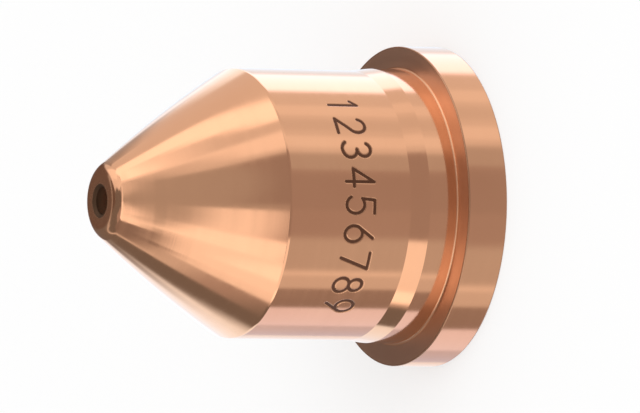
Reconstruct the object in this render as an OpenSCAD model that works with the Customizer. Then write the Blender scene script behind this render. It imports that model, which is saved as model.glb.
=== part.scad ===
// Nozzle of a plasma cutting torch, turned in copper as one piece.
// It stands on the rear face of its flange. The origin is the centre of that face, and +Z
// runs along the axis to the tip. All sizes are in millimetres.

/* [Body] */
// Diameter of the plain body
body_d = 14.7; // [13.4:0.1:18]
// Length from the front of the flange to the shoulder, where the nose starts
body_len = 10.05; // [7:0.05:14]
// Round on the edge of the shoulder, seen in section
shoulder_r = 0.3; // [0.1:0.05:1.5]

/* [Seat land] */
// Height of the land above the body, on the radius
land_rise = 0.15; // [0.05:0.01:0.6]
// Length of the land in front of the flange
land_len = 1.7; // [0.8:0.1:3]
// Length of the taper between the land and the body
taper_len = 1.1; // [0.3:0.1:3]

/* [Flange] */
// Height of the flange above the land, on the radius
flange_rise = 1.25; // [0.5:0.05:4]
// Thickness of the flange
flange_t = 2.35; // [1.2:0.05:5]
// Edge break on both rims of the flange
flange_break = 0.08; // [0.02:0.01:0.4]
// Fillet in the corner between the land and the flange
root_r = 0.12; // [0.04:0.01:0.4]

/* [Nose] */
// Length from the shoulder to the tip face
nose_len = 7.9; // [6:0.05:10]
// Radius of the nose, seen in section
nose_r = 75; // [25:1:150]
// Diameter of the flat tip face
tip_d = 2.7; // [2:0.1:4]
// Round between the nose and the tip face
tip_r = 1; // [0.2:0.1:1.6]

/* [Chamber] */
// Diameter of the rear seat, which the gas ring goes into
seat_d = 12.4; // [10.6:0.1:13]
// Depth of the rear seat
seat_depth = 3; // [1:0.1:6]
// Lead-in chamfer at the mouth of the rear seat
seat_lead = 0.3; // [0.05:0.05:0.8]
// Diameter of the chamber round the electrode
chamber_d = 9.6; // [7:0.1:10.2]
// Chamfer on the edge where the seat steps down to the chamber
chamber_lead = 0.2; // [0.05:0.05:0.3]
// Angle between the chamber's conical end and the axis
cone_angle = 50; // [40:1:70]
// Round between the chamber's wall and its conical end
cone_r = 1.2; // [0.2:0.1:3]

/* [Orifice] */
// Diameter of the orifice
orifice_d = 1.5; // [0.6:0.05:2]
// Length of the orifice, with its exit chamfer
orifice_len = 3.95; // [3:0.05:6]
// Chamfer at the exit of the orifice
exit_lead = 0.15; // [0.05:0.01:0.2]

/* [Hidden] */

// Facets round a full turn
$fn = 128;
// How far a cutting outline runs past the face that it opens
past = 1;

body_r = body_d / 2;
land_r = body_r + land_rise;
flange_r = land_r + flange_rise;
seat_r = seat_d / 2;
chamber_r = chamber_d / 2;
orifice_r = orifice_d / 2;

// Heights above the rear face
taper_z = flange_t + land_len;
shoulder_z = flange_t + body_len;
tip_z = shoulder_z + nose_len;
cone_end_z = tip_z - orifice_len;
cone_start_z = cone_end_z - (chamber_r - orifice_r) / tan(cone_angle);

// A point at distance ra from a and rb from b, on the left of the way from a to b
function meeting(a, ra, b, rb) =
    let (d = norm(b - a), u = (b - a) / d, along = (d * d + ra * ra - rb * rb) / (2 * d))
    a + along * u + sqrt(ra * ra - along * along) * [-u.y, u.x];

// The point that lies the given length from a, on the way to b
function towards(a, b, length) = a + length * (b - a) / norm(b - a);

// The nose is one arc through the shoulder, and the tip's round lies inside it
tip_centre = [tip_d / 2, tip_z - tip_r];
nose_centre = meeting([body_r, shoulder_z], nose_r, tip_centre, nose_r - tip_r);
shoulder_x = body_r - shoulder_r;
shoulder_centre = [
    shoulder_x,
    nose_centre.y + sqrt(pow(nose_r - shoulder_r, 2) - pow(shoulder_x - nose_centre.x, 2))
];

// Where the arcs of the outline touch each other
shoulder_start = [body_r, shoulder_centre.y];
nose_start = towards(nose_centre, shoulder_centre, nose_r);
nose_end = towards(nose_centre, tip_centre, nose_r);
tip_start = [tip_centre.x, tip_z];

// Length that the round at the foot of the chamber's cone takes from each side
cone_tangent = cone_r * tan(cone_angle / 2);
cone_corner = [chamber_r, cone_start_z];
round_start = cone_corner - [0, cone_tangent];
round_end = towards(cone_corner, [orifice_r, cone_end_z], cone_tangent);

// The part of a disc that lies outside the chord from a to b, on the right of that way
module bulge(centre, radius, a, b) {
    u = (b - a) / norm(b - a);
    out = radius * [u.y, -u.x];
    intersection() {
        translate(centre) circle(r = radius, $fn = ceil($fn * max(1, radius / body_r)));
        polygon([a, a + out, b + out, b]);
    }
}

// Right half of the section, up to the axis and without the hollow
module outside() {
    polygon([
        [0, 0],
        [flange_r - flange_break, 0],
        [flange_r, flange_break],
        [flange_r, flange_t - flange_break],
        [flange_r - flange_break, flange_t],
        [land_r, flange_t],
        [land_r, taper_z],
        [body_r, taper_z + taper_len],
        shoulder_start,
        nose_start,
        nose_end,
        tip_start,
        [0, tip_z]
    ]);
    bulge(shoulder_centre, shoulder_r, shoulder_start, nose_start);
    bulge(nose_centre, nose_r, nose_start, nose_end);
    bulge(tip_centre, tip_r, nose_end, tip_start);
    root_fillet();
}

// Fillet in the corner between the flange's front and the land
module root_fillet() {
    difference() {
        translate([land_r, flange_t]) square(root_r);
        translate([land_r + root_r, flange_t + root_r]) circle(r = root_r);
    }
}

// Right half of the hollow: rear seat, chamber, cone and orifice
module hollow() {
    polygon([
        [0, -past],
        [seat_r + seat_lead, -past],
        [seat_r + seat_lead, 0],
        [seat_r, seat_lead],
        [seat_r, seat_depth],
        [chamber_r + chamber_lead, seat_depth],
        [chamber_r, seat_depth + chamber_lead],
        round_start,
        round_end,
        [orifice_r, cone_end_z],
        [orifice_r, tip_z - exit_lead],
        [orifice_r + exit_lead, tip_z],
        [orifice_r + exit_lead, tip_z + past],
        [0, tip_z + past]
    ]);
    bulge(round_start - [cone_r, 0], cone_r, round_start, round_end);
}

module nozzle() {
    color([0.85, 0.53, 0.36])
        rotate_extrude()
            difference() {
                outside();
                hollow();
            }
}

nozzle();
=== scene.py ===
"""Plasma torch nozzle: finely turned copper with cut numbers, on a pale floor in soft light.

Lengths are in millimetres, and those whose name ends in _M in metres. Angles are in degrees.
Bearings go round the nozzle's axis: 0 faces the camera (-Y), and 90 is +X.
"""
import math

import bpy
import numpy as np
from mathutils import Matrix, Vector


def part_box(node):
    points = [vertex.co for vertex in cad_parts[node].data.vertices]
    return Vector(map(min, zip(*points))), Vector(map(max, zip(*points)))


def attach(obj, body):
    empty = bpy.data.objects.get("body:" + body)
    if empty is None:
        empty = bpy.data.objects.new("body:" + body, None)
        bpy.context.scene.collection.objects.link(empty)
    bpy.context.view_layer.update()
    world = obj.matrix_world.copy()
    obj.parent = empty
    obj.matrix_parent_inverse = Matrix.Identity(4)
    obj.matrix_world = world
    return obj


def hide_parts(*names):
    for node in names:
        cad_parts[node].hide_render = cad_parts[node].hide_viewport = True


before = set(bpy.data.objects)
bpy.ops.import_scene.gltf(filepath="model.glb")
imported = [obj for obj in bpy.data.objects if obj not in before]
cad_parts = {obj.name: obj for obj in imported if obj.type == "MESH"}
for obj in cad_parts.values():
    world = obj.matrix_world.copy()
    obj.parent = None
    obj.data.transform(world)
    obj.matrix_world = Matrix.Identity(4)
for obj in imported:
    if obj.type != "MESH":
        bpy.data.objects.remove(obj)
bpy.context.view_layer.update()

MM = 0.001
high_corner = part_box("nozzle")[1]

# Sizes of the nozzle, the same as in the part's source
FLANGE_R = high_corner[0] / MM
TIP_Z = high_corner[2] / MM
FLANGE_T = 2.35
FLANGE_BREAK = 0.08
LAND_R = 7.5
LAND_END_Z = 4.05
ROOT_R = 0.12
BODY_R = 7.35
TAPER_END_Z = 5.15
SHOULDER_Z = 12.4
SHOULDER_ROUND = 0.3
NOSE_ARC_R = 75.0
TIP_FLAT_R = 1.35
TIP_ROUND = 1.0
SEAT_R = 6.2
SEAT_DEPTH = 3.0
SEAT_LEAD = 0.3
CHAMBER_R = 4.8
CHAMBER_LEAD = 0.2
CONE_ANGLE = 50.0
CONE_ROUND = 1.2
ORIFICE_R = 0.75
ORIFICE_LEN = 3.95
EXIT_LEAD = 0.15

# Marks: plain counting numbers, cut round the body as on a dial, with their feet to the tip
MARK_LOW_Z = 7.1
MARK_HIGH_Z = 9.3
FIRST_MARK = 48.0
MARK_STEP = 12.0
DIGIT_TOP_Z = 7.35
DIGIT_HIGH = 1.7
DIGIT_WIDE = 1.05
STROKE_WIDE = 0.2
STROKE_EDGE = 0.05
STROKE_DEEP = 0.03
SLOPE_SHIFT = 0.01

# Steps along the stretches of the section
EDGE_STEPS = 4
ROOT_STEPS = 8
MARK_ROWS = 60
SHOULDER_STEPS = 16
NOSE_STEPS = 48
TIP_STEPS = 24
TIP_FACE_STEPS = 6
BORE_STEPS = 4
CONE_ROUND_STEPS = 12

# Steps round the nozzle, and how many to each side lie under the marks and have finer parts
TURN_STEPS = 256
FINE_STEPS = 42
FINE_PARTS = 5

# Painted shade round the orifice: full on the exit chamfer, less in the bore, and fading out over
# the tip
BORE_SHADE = 0.15
FACE_SHADE = 0.3
SHADE_FADE = 1.2

# Copper: two tones of each finish, blended by stains, and rings that lie in rougher and
# smoother bands
TURNED_TONES = ((0.90, 0.47, 0.27, 1), (0.84, 0.42, 0.24, 1))
# Paler, less orange copy of the copper for the faces: painted light that they catch from around
# them
FACED_LIT_TONES = ((0.74, 0.47, 0.34, 1), (0.70, 0.43, 0.30, 1))
# Darker copy of the copper for the edge breaks: painted shade that dims their highlight
EDGE_SHADE_TONES = ((0.56, 0.29, 0.17, 1), (0.52, 0.26, 0.15, 1))
STAINS_PER_M = 160.0
STAIN_DETAIL = 4.0
STAIN_ROUGH = 0.6
STAIN_SPAN = (0.35, 0.7)
STAIN_SHARE = (0.0, 0.5)
BANDS_PER_RING = 0.11
BAND_DETAIL = 2.0
BAND_SPAN = (0.3, 0.7)
BAND_ROUGHER = 0.15
GROOVE_DETAIL = 3.0

# Finishes: roughness, way across the tool marks ("Z" along the axis, "R" outwards), spacing of
# the tool marks, their depth, and tones
FINISHES = {
    "turned": (0.11, "Z", 0.06, 0.00025, TURNED_TONES),
    "faced_lit": (0.36, "R", 0.08, 0.0006, FACED_LIT_TONES),
    "bored": (0.3, "Z", 0.12, 0.0012, TURNED_TONES),
    "deburred_shaded": (0.36, "Z", 0.04, 0.0005, EDGE_SHADE_TONES),
}

# Painted shade at the orifice and cut marks on the copper: colour, and what they add to roughness
# and to metal
ORIFICE_SHADE_LOOK = ((0.10, 0.05, 0.025, 1), 0.3, -0.3)
MARK_LOOK = ((0.12, 0.045, 0.02, 1), 0.35, -0.4)

# Camera, fitted to the ellipses of the photograph
IMAGE_WIDTH_PX = 640
IMAGE_CENTRE_PX = (319.5, 206.0)
FLANGE_CENTRE_PX = (394.0, 205.8)
PX_PER_MM = 18.28
VIEW_ELEVATION = 27.1
VIEW_ROLL = 88.95
VIEW_DISTANCE = 690.0
SENSOR = 36.0
NEAR_CLIP_M = 0.01


def direction(bearing, elevation):
    """Unit vector at a bearing and an elevation."""
    b, e = math.radians(bearing), math.radians(elevation)
    return Vector((math.sin(b) * math.cos(e), -math.cos(b) * math.cos(e), math.sin(e)))


def smooth(w):
    """Soft step from 0 to 1."""
    w = np.clip(w, 0, 1)
    return w * w * (3 - 2 * w)


def add_object(name, data):
    thing = bpy.data.objects.new(name, data)
    bpy.context.scene.collection.objects.link(thing)
    return thing


def make_camera():
    """Camera that looks down on the upright nozzle, rolled so that the tip points left."""
    e, roll = math.radians(VIEW_ELEVATION), math.radians(VIEW_ROLL)
    look = Vector((0, math.cos(e), -math.sin(e)))
    level_right, level_up = Vector((1, 0, 0)), Vector((0, math.sin(e), math.cos(e)))
    right = level_right * math.cos(roll) - level_up * math.sin(roll)
    up = level_right * math.sin(roll) + level_up * math.cos(roll)
    offset_right = (FLANGE_CENTRE_PX[0] - IMAGE_CENTRE_PX[0]) / PX_PER_MM
    offset_down = (FLANGE_CENTRE_PX[1] - IMAGE_CENTRE_PX[1]) / PX_PER_MM
    place = Vector((0, 0, FLANGE_T)) - look * VIEW_DISTANCE
    place += up * offset_down - right * offset_right
    data = bpy.data.cameras.new("camera")
    data.sensor_width = SENSOR
    data.lens = SENSOR * PX_PER_MM * VIEW_DISTANCE / IMAGE_WIDTH_PX
    data.clip_start = NEAR_CLIP_M
    camera = add_object("camera", data)
    turn = Matrix((right, up, -look)).transposed()
    camera.matrix_world = Matrix.Translation(place * MM) @ turn.to_4x4()
    bpy.context.scene.camera = camera


def meeting(a, ra, b, rb):
    """Point at distance ra from a and rb from b, on the left of the way from a to b."""
    way = (b - a).normalized()
    span = (b - a).length
    along = (span * span + ra * ra - rb * rb) / (2 * span)
    return a + way * along + Vector((-way.y, way.x)) * math.sqrt(ra * ra - along * along)


def towards(a, b, length):
    """Point that lies the given length from a, on the way to b."""
    return a + (b - a).normalized() * length


def straight(start, end, finish, steps=1):
    """Section points from start to end, each with its normal, and their finish."""
    start, end = Vector(start), Vector(end)
    way = (end - start).normalized()
    normal = Vector((way.y, -way.x))
    points = [(start.lerp(end, i / steps), normal) for i in range(steps + 1)]
    return points, finish


def arc(centre, start, end, finish, steps, inward=False):
    """Section points on the short arc from start to end, with normals away from the centre or
    inward to it, and their finish."""
    centre, start, end = Vector(centre), Vector(start), Vector(end)
    radius = (start - centre).length
    first = math.atan2(start.y - centre.y, start.x - centre.x)
    turn = math.atan2(end.y - centre.y, end.x - centre.x) - first
    turn = (turn + math.pi) % (2 * math.pi) - math.pi
    points = []
    for i in range(steps + 1):
        angle = first + turn * i / steps
        out = Vector((math.cos(angle), math.sin(angle)))
        points.append((centre + out * radius, -out if inward else out))
    return points, finish


def flange():
    """Stretches of the section from the rear face to the land. The root fillet has the coarser
    finish of the bores."""
    edge_r, edge_z = FLANGE_R - FLANGE_BREAK, FLANGE_T - FLANGE_BREAK
    root_r, root_z = LAND_R + ROOT_R, FLANGE_T + ROOT_R
    return [
        straight((SEAT_R + SEAT_LEAD, 0), (edge_r, 0), "faced_lit"),
        # The edge breaks take the darker tones of painted shade
        arc((edge_r, FLANGE_BREAK), (edge_r, 0), (FLANGE_R, FLANGE_BREAK), "deburred_shaded", EDGE_STEPS),
        straight((FLANGE_R, FLANGE_BREAK), (FLANGE_R, edge_z), "turned"),
        arc((edge_r, edge_z), (FLANGE_R, edge_z), (edge_r, FLANGE_T), "deburred_shaded", EDGE_STEPS),
        straight((edge_r, FLANGE_T), (root_r, FLANGE_T), "faced_lit"),
        arc((root_r, root_z), (root_r, FLANGE_T), (LAND_R, root_z), "bored", ROOT_STEPS, True),
        straight((LAND_R, root_z), (LAND_R, LAND_END_Z), "turned"),
    ]


def body_and_nose():
    """Stretches of the section from the taper to the tip face. The nose is one arc through the
    shoulder, and the rounds of the shoulder and the tip lie inside it."""
    tip_centre = Vector((TIP_FLAT_R, TIP_Z - TIP_ROUND))
    shoulder = Vector((BODY_R, SHOULDER_Z))
    nose_centre = meeting(shoulder, NOSE_ARC_R, tip_centre, NOSE_ARC_R - TIP_ROUND)
    shoulder_r = BODY_R - SHOULDER_ROUND
    rise = math.sqrt((NOSE_ARC_R - SHOULDER_ROUND) ** 2 - (shoulder_r - nose_centre.x) ** 2)
    shoulder_centre = Vector((shoulder_r, nose_centre.y + rise))
    nose_start = towards(nose_centre, shoulder_centre, NOSE_ARC_R)
    nose_end = towards(nose_centre, tip_centre, NOSE_ARC_R)
    body_end = (BODY_R, shoulder_centre.y)
    tip_start = (TIP_FLAT_R, TIP_Z)
    return [
        straight((LAND_R, LAND_END_Z), (BODY_R, TAPER_END_Z), "turned"),
        straight((BODY_R, TAPER_END_Z), (BODY_R, MARK_LOW_Z), "turned"),
        straight((BODY_R, MARK_LOW_Z), (BODY_R, MARK_HIGH_Z), "marked", MARK_ROWS),
        straight((BODY_R, MARK_HIGH_Z), body_end, "turned"),
        arc(shoulder_centre, body_end, nose_start, "turned", SHOULDER_STEPS),
        arc(nose_centre, nose_start, nose_end, "turned", NOSE_STEPS),
        arc(tip_centre, nose_end, tip_start, "turned", TIP_STEPS),
        straight(tip_start, (ORIFICE_R + EXIT_LEAD, TIP_Z), "turned", TIP_FACE_STEPS),
    ]


def inside():
    """Stretches of the section from the orifice's exit back down the hollow to the rear face."""
    exit_end = (ORIFICE_R, TIP_Z - EXIT_LEAD)
    cone_end = Vector((ORIFICE_R, TIP_Z - ORIFICE_LEN))
    cone_rise = (CHAMBER_R - ORIFICE_R) / math.tan(math.radians(CONE_ANGLE))
    corner = Vector((CHAMBER_R, cone_end.y - cone_rise))
    tangent = CONE_ROUND * math.tan(math.radians(CONE_ANGLE / 2))
    round_start = corner - Vector((0, tangent))
    round_centre = round_start - Vector((CONE_ROUND, 0))
    round_end = towards(corner, cone_end, tangent)
    step_start = (CHAMBER_R, SEAT_DEPTH + CHAMBER_LEAD)
    step_edge = (CHAMBER_R + CHAMBER_LEAD, SEAT_DEPTH)
    return [
        straight((ORIFICE_R + EXIT_LEAD, TIP_Z), exit_end, "bored"),
        straight(exit_end, cone_end, "bored", BORE_STEPS),
        straight(cone_end, round_end, "bored", BORE_STEPS),
        arc(round_centre, round_end, round_start, "bored", CONE_ROUND_STEPS, True),
        straight(round_start, step_start, "bored", BORE_STEPS),
        straight(step_start, step_edge, "bored"),
        straight(step_edge, (SEAT_R, SEAT_DEPTH), "bored"),
        straight((SEAT_R, SEAT_DEPTH), (SEAT_R, SEAT_LEAD), "bored"),
        straight((SEAT_R, SEAT_LEAD), (SEAT_R + SEAT_LEAD, 0), "bored"),
    ]


def bow(cx, cy, rx, ry, start, end, steps=14):
    """Part of an ellipse as points, from one angle to another."""
    angles = [math.radians(start + (end - start) * i / steps) for i in range(steps + 1)]
    return [(cx + rx * math.cos(a), cy + ry * math.sin(a)) for a in angles]


# Strokes of each digit in a box one wide and one high, with y upwards
DIGITS = {
    "1": [[(0.25, 0.8), (0.55, 1.0), (0.55, 0.0)]],
    "2": [bow(0.5, 0.7, 0.42, 0.3, 160, -35) + [(0.06, 0.0), (0.95, 0.0)]],
    "3": [bow(0.45, 0.76, 0.38, 0.24, 150, -90), bow(0.45, 0.26, 0.45, 0.26, 90, -150)],
    "4": [[(0.72, 0.0), (0.72, 1.0), (0.04, 0.28), (0.98, 0.28)]],
    "5": [[(0.88, 1.0), (0.2, 1.0), (0.13, 0.56)] + bow(0.45, 0.32, 0.45, 0.32, 118, -150)],
    "6": [[(0.72, 1.0), (0.12, 0.45)] + bow(0.5, 0.31, 0.42, 0.31, 160, 520, 28)],
    "7": [[(0.06, 1.0), (0.94, 1.0), (0.35, 0.0)]],
    "8": [bow(0.5, 0.77, 0.36, 0.23, 0, 360, 24), bow(0.5, 0.27, 0.44, 0.27, 0, 360, 24)],
    "9": [[(0.28, 0.0), (0.88, 0.55)] + bow(0.5, 0.69, 0.42, 0.31, -20, 340, 28)],
}


def mark_lines():
    """Every stroke as points (way round, height) on the unrolled body."""
    lines = []
    for i, strokes in enumerate(DIGITS.values()):
        centre = math.radians(FIRST_MARK - MARK_STEP * i) * BODY_R
        for stroke in strokes:
            lines.append(
                [
                    (centre - (x - 0.5) * DIGIT_WIDE, DIGIT_TOP_Z + (1 - y) * DIGIT_HIGH)
                    for x, y in stroke
                ]
            )
    return lines


def mark_weight(arcs, heights):
    """How far each point lies within a stroke: 1 on its middle and 0 beside it."""
    nearest = np.full(arcs.shape, np.inf)
    for line in mark_lines():
        for (ax, ay), (bx, by) in zip(line, line[1:]):
            dx, dy = bx - ax, by - ay
            t = ((arcs - ax) * dx + (heights - ay) * dy) / (dx * dx + dy * dy)
            t = np.clip(t, 0, 1)
            nearest = np.minimum(nearest, np.hypot(arcs - ax - t * dx, heights - ay - t * dy))
    return smooth((STROKE_WIDE / 2 - nearest) / STROKE_EDGE + 0.5)


def mark_relief(arcs, height):
    """Weight of the marks at points of one height, and the surface's slope round and up."""
    heights = np.full(arcs.shape, height)

    def slope(right, up):
        ahead = mark_weight(arcs + right, heights + up)
        behind = mark_weight(arcs - right, heights - up)
        return STROKE_DEEP * (behind - ahead) / (2 * SLOPE_SHIFT)

    return mark_weight(arcs, heights), slope(SLOPE_SHIFT, 0), slope(0, SLOPE_SHIFT)


def bearings(fine):
    """Bearings in radians of the points round a ring, and for each turn step its first point."""
    angles, firsts = [], []
    for i in range(TURN_STEPS):
        firsts.append(len(angles))
        centred = (i + TURN_STEPS // 2) % TURN_STEPS - TURN_STEPS // 2
        parts = FINE_PARTS if fine and -FINE_STEPS <= centred < FINE_STEPS else 1
        angles += [2 * math.pi * (i + k / parts) / TURN_STEPS for k in range(parts)]
    return np.array(angles), firsts + [len(angles)]


def soot(radius, height):
    """How much painted shade darkens the copper round the orifice at a point of the section."""
    if height < TIP_Z - ORIFICE_LEN:
        return 0.0
    away = round(radius - ORIFICE_R - EXIT_LEAD, 4)
    if away > 0:
        return FACE_SHADE * max(0, 1 - away / SHADE_FADE)
    return 1.0 if height > TIP_Z - 2 * EXIT_LEAD else BORE_SHADE


class Lathe:
    """Gathers rings of points and the faces between them, with a normal at each corner."""

    def __init__(self):
        self.verts, self.weights, self.soots, self.rings = [], [], [], []
        self.faces, self.normals, self.finishes = [], [], []
        self.kinds = {fine: bearings(fine) for fine in (False, True)}

    def ring(self, radius, height, fine):
        """Adds a ring of points, with the marks cut into a fine one, and returns its number."""
        angles = self.kinds[fine][0]
        arcs = ((angles + math.pi) % (2 * math.pi) - math.pi) * BODY_R
        weight = slope_round = slope_up = np.zeros(len(angles))
        if fine:
            weight, slope_round, slope_up = mark_relief(arcs, height)
        r = radius - STROKE_DEEP * weight
        self.rings.append((len(self.verts), fine, slope_round, slope_up))
        places = np.stack([r * np.sin(angles), -r * np.cos(angles), np.full(len(r), height)], 1)
        self.verts += places.tolist()
        self.weights += weight.tolist()
        self.soots += [soot(radius, height)] * len(r)
        return len(self.rings) - 1

    def normal(self, ring, index, section_normal):
        """Normal at a point of a ring: the section's, tilted by the slopes of the marks."""
        _, fine, slope_round, slope_up = self.rings[ring]
        angle = self.kinds[fine][0][index]
        sin, cos = math.sin(angle), math.cos(angle)
        out, up = section_normal
        along = -slope_round[index]
        tilted = Vector((out * sin + along * cos, -out * cos + along * sin, up - slope_up[index]))
        return tilted.normalized()

    def strip(self, lower, upper, lower_normal, upper_normal, finish):
        """Adds the faces between two rings. Between a coarse and a fine one, a face has as many
        corners as it needs."""
        first_a, fine_a = self.rings[lower][:2]
        first_b, fine_b = self.rings[upper][:2]
        starts_a, starts_b = self.kinds[fine_a][1], self.kinds[fine_b][1]
        for i in range(TURN_STEPS):
            a = list(range(starts_a[i], starts_a[i + 1] + 1))
            b = list(range(starts_b[i], starts_b[i + 1] + 1))
            cells = [(a, b)]
            if len(a) == len(b):
                cells = [(a[k : k + 2], b[k : k + 2]) for k in range(len(a) - 1)]
            for low, high in cells:
                low = [k % starts_a[-1] for k in low]
                high = [k % starts_b[-1] for k in reversed(high)]
                self.faces.append([first_a + k for k in low] + [first_b + k for k in high])
                self.normals += [self.normal(lower, k, lower_normal) for k in low]
                self.normals += [self.normal(upper, k, upper_normal) for k in high]
                self.finishes.append(finish)

    def turn(self, stretches):
        """Turns a closed section, which ends on its first ring. The rings within a marked stretch
        are fine ones."""
        first_points, last_points = stretches[0][0], stretches[-1][0]
        start, end = first_points[0][0], last_points[-1][0]
        first = last = self.ring(start.x, start.y, False)
        for points, finish in stretches:
            marked = finish == "marked"
            number = list(FINISHES).index("turned" if marked else finish)
            last_normal = points[0][1]
            for point, normal in points[1:]:
                fine = marked and point is not points[-1][0]
                ring = first if point is end else self.ring(point.x, point.y, fine)
                self.strip(last, ring, last_normal, normal, number)
                last, last_normal = ring, normal


class Nodes:
    """Short calls for building the nodes of a material or the world."""

    def __init__(self, owner):
        self.owner = owner
        owner.use_nodes = True
        self.tree = owner.node_tree
        self.tree.nodes.clear()

    def add(self, kind, inputs=None, **settings):
        """Adds a node. Each input is a value, or the socket that it is linked to."""
        node = self.tree.nodes.new("ShaderNode" + kind)
        for key, value in settings.items():
            setattr(node, key, value)
        for key, value in (inputs or {}).items():
            if isinstance(value, bpy.types.NodeSocket):
                self.tree.links.new(value, node.inputs[key])
            else:
                node.inputs[key].default_value = value
        return node

    def math(self, operation, a, b=0.0, c=0.0):
        return self.add("Math", {0: a, 1: b, 2: c}, operation=operation).outputs[0]

    def noise(self, scale, detail, **place):
        """Noise along a line if the place is given as W, and in space otherwise."""
        kind = "1D" if "W" in place else "3D"
        inputs = {"Scale": scale, "Detail": detail, **place}
        return self.add("TexNoise", inputs, noise_dimensions=kind).outputs[0]

    def spread(self, value, span, to_span):
        """Value mapped from one span to another."""
        inputs = {0: value, 1: span[0], 2: span[1], 3: to_span[0], 4: to_span[1]}
        return self.add("MapRange", inputs).outputs[0]

    def blend(self, share, a, b):
        """Colour that is a at share 0 and b at share 1."""
        mix = self.add("Mix", {"Factor": share, "A": a, "B": b}, data_type="RGBA")
        return mix.outputs["Result"]

    def attribute(self, name):
        return self.add("Attribute", attribute_name=name).outputs["Fac"]

    def seen(self):
        """1 for camera, glossy and transmission rays, to which the background looks white."""
        path = self.add("LightPath")
        seen = path.outputs["Is Camera Ray"]
        for ray in ("Is Glossy Ray", "Is Transmission Ray"):
            seen = self.math("MAXIMUM", seen, path.outputs[ray])
        return seen


def across_rings(n, place, way):
    """Distance across the rings of tool marks, along the axis ("Z") or outwards ("R")."""
    xyz = n.add("SeparateXYZ", {0: place})
    if way == "Z":
        return xyz.outputs["Z"]
    flat = n.add("CombineXYZ", {0: xyz.outputs["X"], 1: xyz.outputs["Y"]}).outputs[0]
    return n.add("VectorMath", {0: flat}, operation="LENGTH").outputs["Value"]


def copper(finish):
    """Copper with tool marks in rings, stains, painted shade at the orifice and, where turned, the
    cut marks.
    """
    rough, way, spacing, deep, tones = FINISHES[finish]
    n = Nodes(bpy.data.materials.new("copper_" + finish))
    place = n.add("TexCoord").outputs["Object"]
    rings = n.math("MULTIPLY", across_rings(n, place, way), 1 / (spacing * MM))
    bands = n.noise(1.0, BAND_DETAIL, W=n.math("MULTIPLY", rings, BANDS_PER_RING))
    stains = n.noise(STAINS_PER_M, STAIN_DETAIL, Vector=place, Roughness=STAIN_ROUGH)
    colour = n.blend(n.spread(stains, STAIN_SPAN, STAIN_SHARE), *tones)
    rough_span = (rough * (1 - BAND_ROUGHER), rough * (1 + BAND_ROUGHER))
    roughness = n.spread(bands, BAND_SPAN, rough_span)
    metallic = 1.0
    # The first layer darkens the copper round the orifice: painted shade
    layers = {"soot": ORIFICE_SHADE_LOOK}
    if finish == "turned":
        layers["mark"] = MARK_LOOK
    for name, (layer_colour, rougher, metal) in layers.items():
        weight = n.attribute(name)
        colour = n.blend(weight, colour, layer_colour)
        roughness = n.math("MULTIPLY_ADD", weight, rougher, roughness)
        metallic = n.math("MULTIPLY_ADD", weight, metal, metallic)
    grooves = n.noise(1.0, GROOVE_DETAIL, W=rings)
    bump = n.add("Bump", {"Strength": 1.0, "Distance": deep * MM, "Height": grooves})
    shader = n.add(
        "BsdfPrincipled",
        {
            "Base Color": colour,
            "Metallic": metallic,
            "Roughness": roughness,
            "Normal": bump.outputs[0],
        },
    )
    n.add("OutputMaterial", {"Surface": shader.outputs[0]})
    return n.owner


def make_nozzle():
    """The turned nozzle as one mesh, with a material for each finish."""
    lathe = Lathe()
    lathe.turn(flange() + body_and_nose() + inside())
    mesh = bpy.data.meshes.new("nozzle_turned")
    mesh.from_pydata([[c * MM for c in v] for v in lathe.verts], [], lathe.faces)
    mesh.polygons.foreach_set("use_smooth", [True] * len(mesh.polygons))
    mesh.polygons.foreach_set("material_index", lathe.finishes)
    for name, values in (("mark", lathe.weights), ("soot", lathe.soots)):
        mesh.attributes.new(name, "FLOAT", "POINT").data.foreach_set("value", values)
    mesh.normals_split_custom_set(lathe.normals)
    for finish in FINISHES:
        mesh.materials.append(copper(finish))
    mesh.validate()
    piece = add_object("nozzle_turned", mesh)
    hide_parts("nozzle")
    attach(piece, "root")


# Floor, pad, world and lamp
WHITE = (1, 1, 1, 1)
FLOOR_COLOUR = (0.96, 0.96, 0.96, 1)
FLOOR_ROUGH = (0.85, 0.95)
FLOOR_WHITE_SHARE = 0.6
FLOOR_HALF_M = 3.0
GRAINS_PER_M = 40.0
GRAIN_DETAIL = 3.0
# Painted shade: colour of the pad that the copper mirrors below the bore
PAD_SHADE_COLOUR = (0.02, 0.02, 0.02, 1)
PAD_BELOW = 0.05
PAD_SIDES = 72
WORLD_LEVEL = 0.88
KEY_BEARING = 40
KEY_ELEVATION = 60
KEY_FAR_M = 0.8
KEY_SIZE_M = 0.6
KEY_WATTS = 1.1


def stage_mesh(name, verts, faces, material):
    """Adds a mesh that belongs to the stage and not to the nozzle."""
    mesh = bpy.data.meshes.new(name)
    mesh.from_pydata(verts, [], faces)
    mesh.materials.append(material)
    thing = add_object(name, mesh)
    return thing


def make_floor():
    """Pale floor that takes a faint shadow, and looks partly white wherever it is seen."""
    n = Nodes(bpy.data.materials.new("floor_pale"))
    roughness = n.spread(n.noise(GRAINS_PER_M, GRAIN_DETAIL), (0, 1), FLOOR_ROUGH)
    pale = n.add("BsdfDiffuse", {"Color": FLOOR_COLOUR, "Roughness": roughness})
    white = n.add("Emission", {"Color": WHITE, "Strength": 1.0})
    share = n.math("MULTIPLY", n.seen(), FLOOR_WHITE_SHARE)
    mix = n.add("MixShader", {0: share, 1: pale.outputs[0], 2: white.outputs[0]})
    n.add("OutputMaterial", {"Surface": mix.outputs[0]})
    signs = ((-1, -1), (1, -1), (1, 1), (-1, 1))
    corners = [(x * FLOOR_HALF_M, y * FLOOR_HALF_M, 0) for x, y in signs]
    floor = stage_mesh("floor", corners, [(0, 1, 2, 3)], n.owner)
    floor.visible_glossy = False


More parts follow.
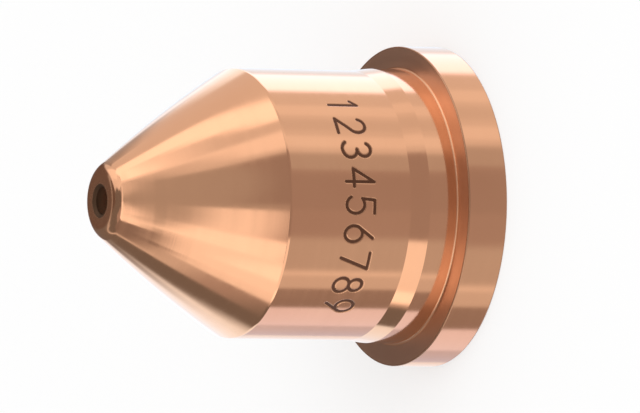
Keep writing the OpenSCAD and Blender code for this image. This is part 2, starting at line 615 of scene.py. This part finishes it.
def make_pad():
    """Dark pad below the open rear end, seen in the copper alone: painted shade for the shaded
    floor under the nozzle, so that no light comes up through the bore.
    """
    n = Nodes(bpy.data.materials.new("pad_painted_shade"))
    shader = n.add("BsdfDiffuse", {"Color": PAD_SHADE_COLOUR})
    n.add("OutputMaterial", {"Surface": shader.outputs[0]})
    radius = (SEAT_R + SEAT_LEAD) * MM
    ring = [radius * direction(360 * i / PAD_SIDES, 0) for i in range(PAD_SIDES)]
    verts = [(v.x, v.y, -PAD_BELOW * MM) for v in ring]
    pad = stage_mesh("pad", verts, [list(range(PAD_SIDES))], n.owner)
    pad.visible_camera = pad.visible_diffuse = pad.visible_shadow = False


def make_world():
    """Even light from all sides, before a backdrop that looks white."""
    world = bpy.data.worlds.new("studio")
    bpy.context.scene.world = world
    n = Nodes(world)
    light = n.add("Background", {"Color": WHITE, "Strength": WORLD_LEVEL})
    backdrop = n.add("Background", {"Color": WHITE, "Strength": 1.0})
    mix = n.add("MixShader", {0: n.seen(), 1: light.outputs[0], 2: backdrop.outputs[0]})
    n.add("OutputWorld", {"Surface": mix.outputs[0]})


def make_key_lamp():
    """Round lamp in front, up on the right, which the copper doesn't mirror."""
    data = bpy.data.lights.new("key", "AREA")
    data.shape = "DISK"
    data.size = KEY_SIZE_M
    data.energy = KEY_WATTS
    lamp = add_object("key", data)
    aim = direction(KEY_BEARING, KEY_ELEVATION)
    lamp.location = aim * KEY_FAR_M
    lamp.rotation_euler = aim.to_track_quat("Z", "Y").to_euler()
    lamp.visible_glossy = False


# Cards: the studio that the copper mirrors, as patches of a dome. Each later one lies nearer
CARD_FAR_M = 3.0
CARD_NEARER_M = 0.02
CARD_STEP = 4.0
SOFT_STEPS = 6
ZENITH = 90
COOL = (0.75, 0.8, 1, 1)
MILKY = (0.7, 0.86, 1, 1)
WARM = (1, 0.74, 0.64, 1)
ROSE = (1, 0.91, 0.91, 1)

# Bearings from and to, elevations from and to, brightness, width of the soft edge, how many
# degrees the band climbs in each degree of bearing, and colour. Left and right are those of the
# upright nozzle, seen from the camera
CARDS = {
    # Walls and floor behind the nozzle, and on its left
    "back_wall": (150, 210, -11, 90, 0.15, 6, 0, WARM),
    "back_left": (-170, -90, -24, 90, 0.20, 6, 0, WHITE),
    "back_high": (145, 215, 40, 47, 0.55, 4, 0, WHITE),
    "back_strip": (-168, -104, 32, 37, 0.75, 3, -0.35, WHITE),
    "floor_left": (-178, -118, -26, -5, 1.50, 4, 0, MILKY),
    "floor_left_edge": (-160, -134, -14, -3, 1.60, 7, 0.6, MILKY),
    "floor_left_end": (-140, -122, -14, 4, 1.50, 7, 0.15, MILKY),
    "left_floor": (-152, -122, -60, -25, 0.85, 6, 0, COOL),
    "left_glow": (-127, -96, -60, -24, 1.25, 5, 0, COOL),
    # Room in front of the nozzle, which the middle of the copper mirrors
    "room": (-91, 47, -60, 90, 0.44, 5, 0, ROSE),
    "room_high": (-60, 60, 36, 60, 0.47, 3, 0, WHITE),
    "left_dark": (-104, -58, 24, 50, 0.27, 5, 0, ROSE),
    "room_low": (-77, -34, -60, -22, 0.70, 5, 0, WHITE),
    "room_low_streak": (-63, -57, -60, -22, 0.88, 4, 0, WHITE),
    "room_low_end": (-58, -28, -60, -22, 0.56, 8, 0, WHITE),
    "left_low": (-99, -77, -60, -22, 0.33, 4, 0, ROSE),
    "room_edge": (30, 50, -60, -24, 0.54, 4, 0, WHITE),
    "front_low": (-26, 42, -24, -5, 0.40, 4, 0, ROSE),
    "front_low_body": (-4, 26, -60, -22, 0.41, 6, 0, ROSE),
    # Wall, floor and joints on the right
    "right_wall": (45, 152, -60, 41.5, 0.80, 5, 0, WHITE),
    "window_back": (98, 150, 31, 55, 1.20, 6, 0, WHITE),
    "right_end": (131, 157, 0, 14, 0.42, 3, -0.75, WHITE),
    "right_joint": (67, 77, -60, 14, 0.74, 5, 0, WHITE),
    "right_light": (50, 61, -60, 14, 0.94, 5, 0, WHITE),
    "right_light_far": (82, 94, -60, 14, 0.93, 5, 0, WHITE),
    "right_low": (113, 151, -60, -9, 2.35, 8, 0, COOL),
    "floor_right": (146, 178, -60, -11, 1.35, 8, 0, MILKY),
    "right_edge": (138, 162, -18, -6.5, 1.85, 5, -0.45, MILKY),
    # Window on the right
    "window_far": (86, 109, 17, 40, 1.50, 4, 0, WHITE),
    "window_low": (76, 94, 17, 26, 1.50, 4, 0, WHITE),
    "window_near": (50, 66, 22, 35, 1.12, 5, 0, WHITE),
    "window_haze": (62, 92, 31, 40, 1.08, 4, -0.3, WHITE),
    "window_top": (67, 96, 33.5, 37, 1.60, 3, -0.3, WHITE),
    # Softbox on the left
    "softbox": (-88, -28, -23, 24, 1.12, 5, 0, WHITE),
    "softbox_strip": (-86, -74, -23, 10, 1.50, 5, 0, WHITE),
    "softbox_left": (-91, -78, 18, 30, 1.12, 3, 0.28, WHITE),
    "softbox_slope": (-82, -52, 15, 36.5, 1.20, 3, 0.3, WHITE),
    "softbox_spot": (-70, -56, 20, 31, 1.45, 5, 0, WHITE),
    "left_haze": (-107, -91, 17, 25, 0.45, 5, 0.28, ROSE),
    "left_strip": (-108, -90, 22, 26, 0.75, 3, 0.36, WHITE),
    "softbox_high": (-54, -34, 30, 42, 1.36, 4, 0.05, WHITE),
    "softbox_far": (-36, -6, 35.5, 42.5, 1.16, 4, 0.05, WHITE),
    # Dark bands in front, and strips of light in the round of the tip
    "front_band": (-26, 46, 0, 24, 0.36, 5, 0, ROSE),
    "front_dark": (0, 46, 20, 37, 0.36, 4, -0.1, ROSE),
    "tip_strip_left": (-40, 2, 49, 62, 1.25, 2, 0.18, WHITE),
    "tip_strip_end": (-64, -38, 43, 56, 1.30, 2, 0.28, WHITE),
    "tip_strip_right": (-2, 60, 48.5, 60, 0.95, 2, -0.2, WHITE),
    "ceiling": (-34, 62, 63, 90, 0.20, 5, 0, WHITE),
    "zenith": (-180, 180, 70, 90, 0.20, 5, 0, WHITE),
}


def edges(low, high, soft):
    """Angles across a card with its weight at each, closer together in the soft edges."""
    half, mid = (high - low) / 2, (high + low) / 2
    fade = [soft * (i / SOFT_STEPS - 0.5) for i in range(SOFT_STEPS + 1)]
    inner = max(1, int((high - low) / CARD_STEP))
    angles = [low + f for f in fade]
    angles += [low + soft / 2 + (high - low - soft) * i / inner for i in range(1, inner)]
    angles += [high + f for f in fade]
    return [(a, smooth((half - abs(a - mid)) / soft + 0.5)) for a in angles]


def rows_of(low, high, soft):
    """Elevations of a card with its weight at each. One that reaches the zenith has no soft edge
    there."""
    rows = edges(low, high, soft)
    if high < ZENITH:
        return rows
    rows = [(e, w if e < ZENITH - soft else 1.0) for e, w in rows if e < ZENITH]
    return rows + [(ZENITH, 1.0)]


def card_material(name, level, colour):
    """Glow of one level, which fades out with the card's weight."""
    n = Nodes(bpy.data.materials.new(name))
    shine = n.add("Emission", {"Color": colour, "Strength": level}).outputs[0]
    clear = n.add("BsdfTransparent").outputs[0]
    mix = n.add("MixShader", {0: n.attribute("weight"), 1: clear, 2: shine}).outputs[0]
    n.add("OutputMaterial", {"Surface": mix})
    n.owner.cycles.emission_sampling = "NONE"
    return n.owner


def make_card(order, name, spec):
    """One patch of the dome, which shows in mirrors alone."""
    left, right, low, high, level, soft, climb, colour = spec
    columns, rows = edges(left, right, soft), rows_of(low, high, soft)
    radius = CARD_FAR_M - CARD_NEARER_M * order
    verts, weights = [], []
    for bearing, column_weight in columns:
        lift = climb * (bearing - (left + right) / 2)
        for elevation, row_weight in rows:
            verts.append(direction(bearing, min(ZENITH, elevation + lift)) * radius)
            weights.append(column_weight * row_weight)
    count = len(rows)
    corners = [i * count + j for i in range(len(columns) - 1) for j in range(count - 1)]
    faces = [(c, c + 1, c + count + 1, c + count) for c in corners]
    name = "card_" + name
    card = stage_mesh(name, verts, faces, card_material(name, level, colour))
    card.data.attributes.new("weight", "FLOAT", "POINT").data.foreach_set("value", weights)
    card.visible_camera = card.visible_diffuse = card.visible_shadow = False


make_nozzle()
make_floor()
make_pad()
make_world()
make_key_lamp()
for order, (name, spec) in enumerate(CARDS.items()):
    make_card(order, name, spec)
make_camera()

bpy.context.scene.view_settings.view_transform = "Standard"
